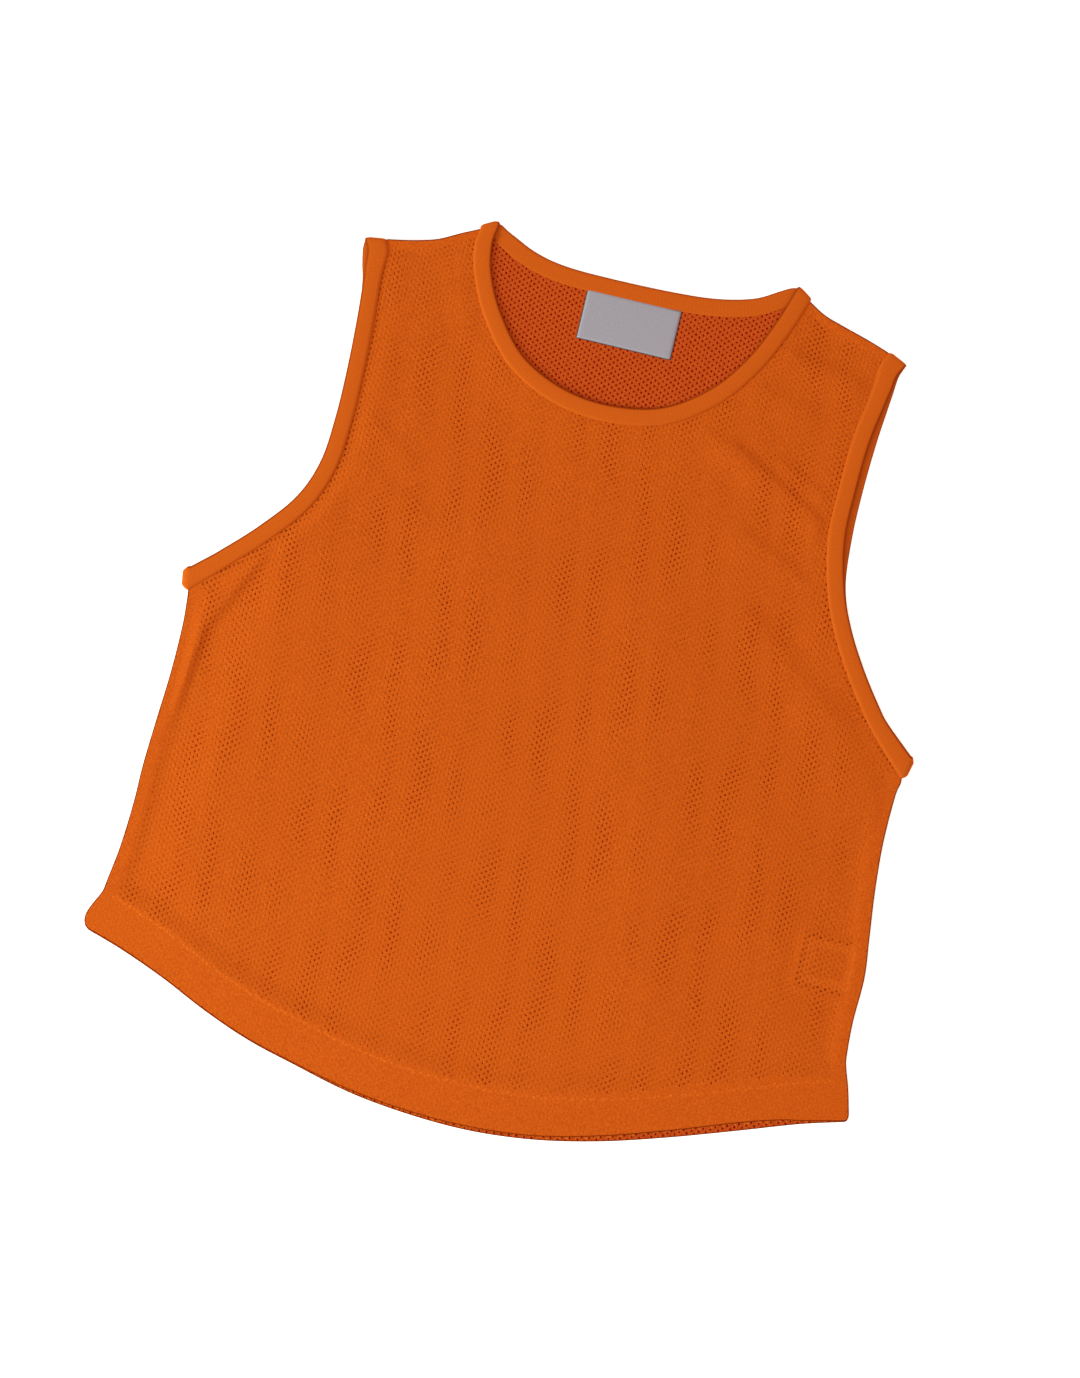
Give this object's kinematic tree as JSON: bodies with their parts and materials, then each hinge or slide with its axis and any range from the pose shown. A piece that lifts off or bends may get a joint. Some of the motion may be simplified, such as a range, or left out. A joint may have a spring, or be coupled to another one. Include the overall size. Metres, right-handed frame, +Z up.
{
  "type": "training bib laid flat",
  "caption": "Sleeveless mesh training bib laid flat, front panel on back panel, with bound neck and armholes and a curved turned hem.",
  "frame": {"origin": "middle of the underside, on the surface that the bib lies on", "axes": "+X across the bib, +Y from the hem to the neck, +Z up from the surface through the cloth"},
  "size_m": [0.492, 0.5609, 0.0053],
  "materials": {
    "eyelet_mesh": "knitted eyelet mesh polyester",
    "binding": "plain knitted polyester",
    "neck_label": "woven satin label",
    "care_label": "printed satin label"
  },
  "bodies": {
    "root": {"back_panel": "eyelet_mesh", "front_panel": "eyelet_mesh", "neck_binding": "binding", "armhole_binding_left": "binding", "armhole_binding_right": "binding", "neck_label": "neck_label", "care_label": "care_label"}
  },
  "joints": []
}
